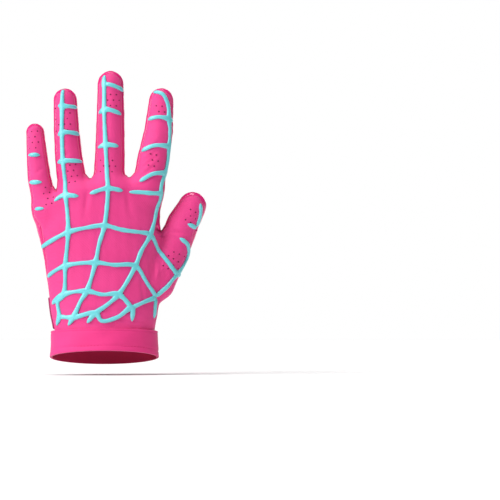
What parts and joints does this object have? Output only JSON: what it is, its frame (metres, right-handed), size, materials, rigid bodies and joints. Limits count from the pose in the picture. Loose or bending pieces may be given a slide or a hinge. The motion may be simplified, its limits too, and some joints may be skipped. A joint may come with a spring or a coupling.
{
  "type": "football receiver glove",
  "caption": "Hollow stretch glove for a left hand with a tacky coated palm, raised net ribs on the back, a wrist cuff and a closing strap.",
  "frame": {"origin": "middle of the wrist opening, where the hand goes in", "axes": "+Z from the wrist opening to the fingertips, +X from the little finger to the thumb, +Y from the back of the hand to the palm"},
  "size_m": [0.1389, 0.0567, 0.2273],
  "materials": {
    "knit": "matte stretch knit",
    "coating": "glossy tacky coating",
    "cuff_knit": "matte stretch knit",
    "strap_webbing": "matte woven webbing",
    "moulded_tab": "satin moulded rubber",
    "binding": "matte folded tape",
    "silicone_ribs": "satin moulded silicone"
  },
  "bodies": {
    "root": {"back_panel": "knit", "palm_panel": "coating", "cuff_band": "cuff_knit", "wrist_strap": "strap_webbing", "closure_tab": "moulded_tab", "notch_binding": "binding", "web_ribs": "silicone_ribs", "thumb_rib": "silicone_ribs", "little_bar_1": "silicone_ribs", "little_bar_2": "silicone_ribs", "little_bar_3": "silicone_ribs"}
  },
  "joints": []
}
